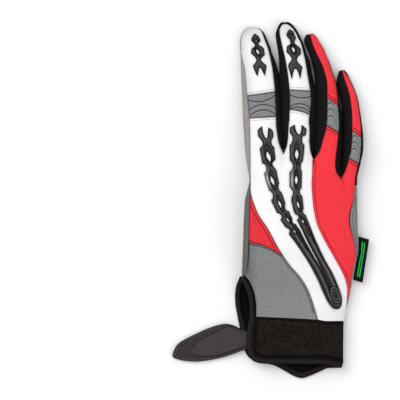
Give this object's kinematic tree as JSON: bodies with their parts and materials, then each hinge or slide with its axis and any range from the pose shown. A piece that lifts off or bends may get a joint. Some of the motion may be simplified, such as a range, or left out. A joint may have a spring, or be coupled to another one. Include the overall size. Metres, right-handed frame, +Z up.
{
  "type": "full-finger riding glove, right hand",
  "caption": "Right-hand full-finger glove lying palm down, with rubber rails on its back, ribbed knuckle panels and an open hook-and-loop cuff strap.",
  "frame": {"origin": "middle of the glove's bounding box, on the surface that it lies on", "axes": "+Z up, out of the back of the hand; +Y from the wrist to the fingertips; +X towards the little finger"},
  "size_m": [0.1479, 0.2682, 0.0368],
  "materials": {
    "white_leather": "semi-matt synthetic leather",
    "red_knit": "fine matt knit",
    "grey_knit": "matt knit over foam",
    "ribbed_grey": "ribbed knit with raised bows",
    "dark_grey_knit": "matt knit",
    "black_stretch": "matt stretch fabric",
    "palm_suede": "suede-like synthetic leather",
    "cuff_neoprene": "matt knit over neoprene",
    "loop_fabric": "brushed loop",
    "hook_fabric": "hook tape",
    "edge_binding": "woven edge tape",
    "strap_rubber": "matt moulded rubber",
    "label_cloth": "woven",
    "glossy_rubber": "glossy moulded rubber"
  },
  "bodies": {
    "root": {"white_back_panel": "white_leather", "index_tip_panel": "white_leather", "middle_tip_panel": "white_leather", "red_back_panel": "red_knit", "red_side_panel": "red_knit", "ring_tip_panel": "red_knit", "little_tip_panel": "red_knit", "grey_wrist_panel": "grey_knit", "little_side_panel": "grey_knit", "index_knuckle_panel": "ribbed_grey", "middle_knuckle_panel": "ribbed_grey", "ring_knuckle_panel": "ribbed_grey", "little_knuckle_panel": "ribbed_grey", "thumb_side_panel": "dark_grey_knit", "fourchette_index_middle": "black_stretch", "fourchette_middle_ring": "black_stretch", "fourchette_ring_little": "black_stretch", "fourchette_little_side": "black_stretch", "palm_panel": "palm_suede", "thumb_sleeve": "palm_suede", "cuff_back": "cuff_neoprene", "cuff_palm": "cuff_neoprene", "cuff_loop_patch": "loop_fabric", "strap_hook_pad": "hook_fabric", "cuff_binding_back": "edge_binding", "cuff_binding_palm": "edge_binding", "strap_tab": "strap_rubber", "side_label": "label_cloth", "back_rail_inner": "glossy_rubber", "back_rail_outer": "glossy_rubber", "index_tip_grip": "glossy_rubber", "middle_tip_grip": "glossy_rubber"}
  },
  "joints": []
}
